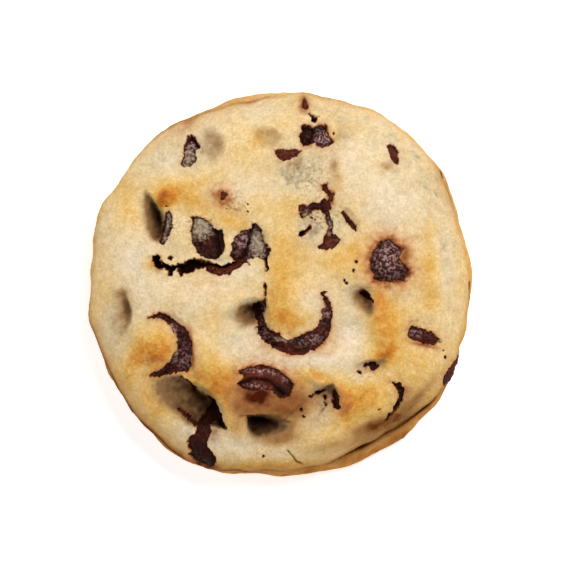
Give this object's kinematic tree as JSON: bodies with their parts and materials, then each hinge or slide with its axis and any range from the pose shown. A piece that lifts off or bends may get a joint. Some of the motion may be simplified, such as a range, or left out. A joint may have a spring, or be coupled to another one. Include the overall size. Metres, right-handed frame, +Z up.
{
  "type": "chocolate chip cookie",
  "caption": "Thick round chocolate chip cookie with a domed, creased and browned top, dark chips set in pockets of the dough and a flat baked underside.",
  "frame": {"origin": "middle of the flat underside", "axes": "+Z up through the cookie, +X to the right and +Y away from the viewer, as the picture shows it from above"},
  "size_m": [0.07, 0.0702, 0.0186],
  "materials": {
    "baked_dough": "baked crust, matt to faintly satin, pale cream in the hollows and golden brown on the ridges",
    "chocolate": "dark chocolate, softly glossy where bare, with a greyish purple bloom and a wrinkled skin"
  },
  "bodies": {
    "root": {"dough": "baked_dough", "chip_upper_left": "chocolate", "chip_top": "chocolate", "chip_top_edge": "chocolate", "chip_flat": "chocolate", "chip_upper_right": "chocolate", "chip_crack": "chocolate", "chip_horseshoe": "chocolate", "chip_sliver": "chocolate", "chip_round": "chocolate", "chip_right": "chocolate", "chip_lower_right": "chocolate", "chip_dimple": "chocolate", "chip_lower_dimple": "chocolate", "chip_bottom": "chocolate", "chip_centre": "chocolate", "chip_left_dome": "chocolate", "chip_rim": "chocolate", "chip_hollow": "chocolate", "chip_left_sliver": "chocolate", "chip_left": "chocolate", "chip_left_neighbour": "chocolate", "chip_left_crack": "chocolate", "chip_pink": "chocolate", "chip_right_hollow": "chocolate", "chip_centre_left": "chocolate", "chip_rim_right": "chocolate", "chip_rim_middle": "chocolate", "chip_rim_upper": "chocolate"}
  },
  "joints": []
}
